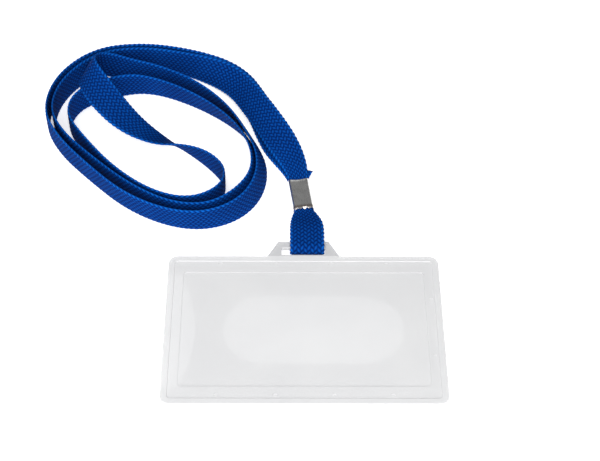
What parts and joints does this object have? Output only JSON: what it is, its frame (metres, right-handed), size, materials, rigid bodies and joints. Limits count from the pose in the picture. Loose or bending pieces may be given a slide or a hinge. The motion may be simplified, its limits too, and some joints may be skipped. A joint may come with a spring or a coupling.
{
  "type": "lanyard badge holder",
  "caption": "Frosted plastic card holder with a rear finger window and a slotted hanging tab, on a flat braided neck lanyard closed by a metal crimp.",
  "frame": {"origin": "bottom centre of the holder (two covers with the tab), lying flat with its front cover up", "axes": "+X along the long side, card entry at -X; +Y towards the hanging tab; +Z out of the front cover"},
  "size_m": [0.15, 0.1683, 0.0222],
  "materials": {
    "frosted_plastic": "frosted translucent polypropylene",
    "crimp_metal": "nickel plated, faintly brushed",
    "blue_braid": "royal blue flat braided polyester"
  },
  "bodies": {
    "holder": {"front_cover": "frosted_plastic", "rear_cover": "frosted_plastic", "weld_pins": "frosted_plastic"},
    "lanyard": {"hanger_loop": "blue_braid", "crimp_sleeve": "crimp_metal", "strap_tail": "blue_braid", "strap_half_a": "blue_braid", "strap_half_b": "blue_braid"}
  },
  "joints": [
    {"name": "holder_swing", "type": "hinge", "parent": "holder", "child": "lanyard", "pos_m": [0, 0.0339, 0.0027], "axis": [1, 0, 0], "range_deg": [-115, 125]}
  ]
}
